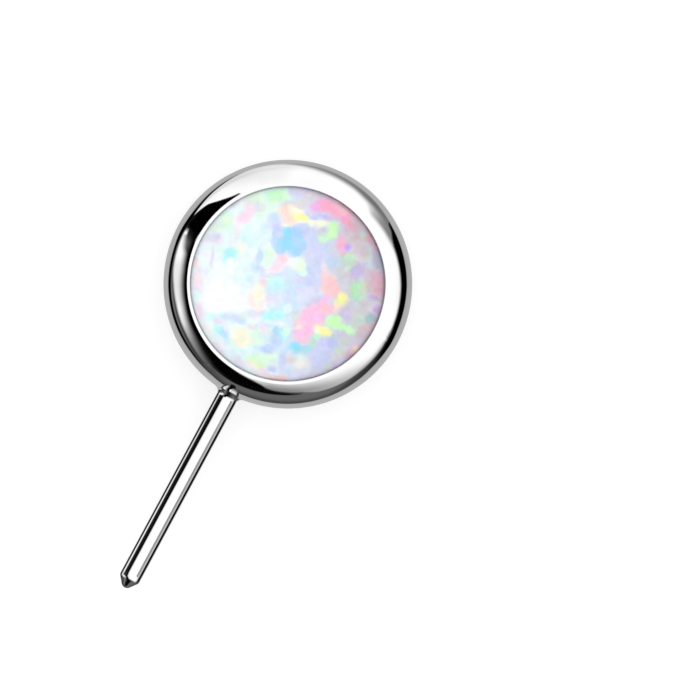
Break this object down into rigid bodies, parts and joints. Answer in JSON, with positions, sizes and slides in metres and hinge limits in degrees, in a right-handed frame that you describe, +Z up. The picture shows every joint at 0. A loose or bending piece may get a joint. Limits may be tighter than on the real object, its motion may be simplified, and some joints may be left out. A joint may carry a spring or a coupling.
{
  "type": "threadless piercing end",
  "caption": "Threadless piercing end: round bezel cup with a domed white opal, and a straight push-in pin leaving its side.",
  "frame": {"origin": "centre of the bezel's flat back", "axes": "+Z up through the top of the stone, +X along the pin towards its tip"},
  "size_m": [0.0111, 0.0058, 0.0039],
  "materials": {
    "polished_titanium": "polished",
    "white_opal": "polished"
  },
  "bodies": {
    "root": {"setting": "polished_titanium", "opal": "white_opal"}
  },
  "joints": []
}
